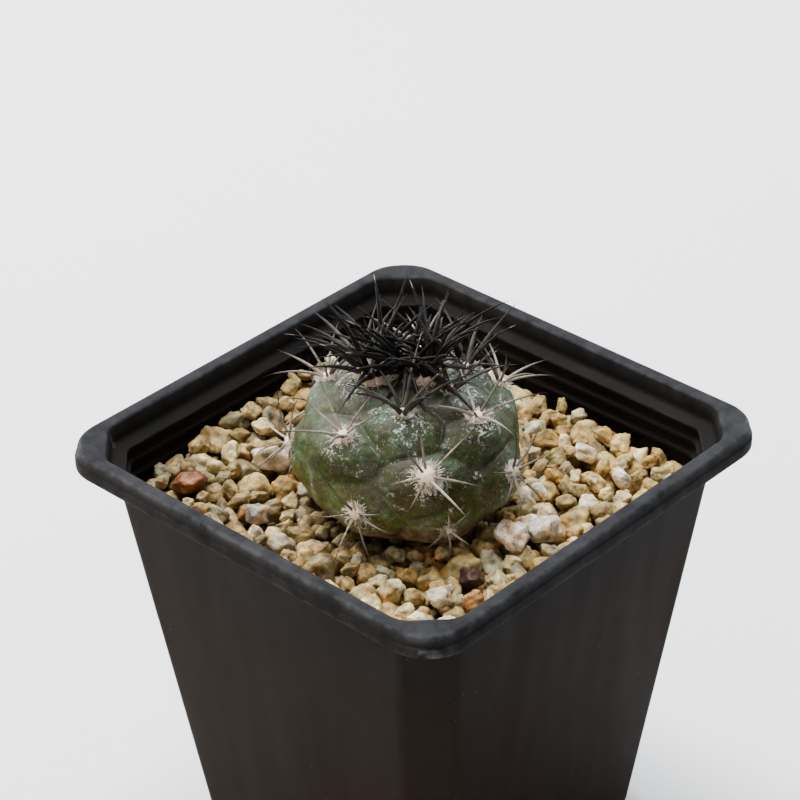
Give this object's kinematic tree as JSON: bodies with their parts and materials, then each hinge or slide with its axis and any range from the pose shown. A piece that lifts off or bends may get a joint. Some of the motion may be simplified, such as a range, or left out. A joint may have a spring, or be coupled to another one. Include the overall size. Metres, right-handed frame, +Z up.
{
  "type": "potted round cactus",
  "caption": "Round flattened cactus with tufted dark spines, growing in pale stone grit in a tall square black plastic nursery pot with a rolled rim.",
  "frame": {"origin": "middle of the pot's foot, on the surface that the pot stands on", "axes": "+Z up, +X and +Y square to the pot's walls; the pot's corners point between the axes"},
  "size_m": [0.09, 0.09, 0.1113],
  "materials": {
    "pot_plastic": "satin",
    "potting_mix": "matte",
    "grit": "matte",
    "stone_ochre": "matte",
    "stone_dark": "matte",
    "stem_skin": "satin",
    "spine_dark": "satin",
    "spine_pale": "satin",
    "wool": "matte"
  },
  "bodies": {
    "root": {"pot": "pot_plastic", "pot_rim": "pot_plastic", "potting_mix": "potting_mix", "grit_layer": "grit", "stone_cream_front": "grit", "stone_cream_large": "grit", "stone_dark": "stone_dark", "stone_orange_brown": "stone_ochre", "stone_orange_small": "stone_ochre", "stone_quartz_far": "grit", "stone_quartz_near": "grit", "stone_speckled": "grit", "stone_white_back": "grit", "stone_white_right": "grit", "cactus_stem": "stem_skin", "areole_crown_1": "spine_dark", "areole_crown_2": "spine_dark", "areole_crown_3": "spine_dark", "areole_crown_4": "spine_dark", "areole_crown_5": "spine_dark", "areole_flank_1": "spine_pale", "areole_flank_2": "spine_pale", "areole_flank_3": "spine_pale", "areole_lower_1": "spine_pale", "areole_lower_2": "spine_pale", "areole_lower_3": "spine_pale", "areole_shoulder_1": "spine_dark", "areole_shoulder_2": "spine_dark", "areole_shoulder_3": "spine_dark", "areole_shoulder_4": "spine_dark", "areole_shoulder_5": "spine_dark", "areole_upper_1": "spine_dark", "areole_upper_2": "spine_dark", "areole_upper_3": "spine_dark", "areole_upper_4": "spine_dark", "areole_waist_1": "spine_pale", "areole_waist_2": "spine_pale", "areole_waist_3": "spine_pale", "areole_waist_4": "spine_pale", "areole_waist_5": "spine_pale"}
  },
  "joints": []
}
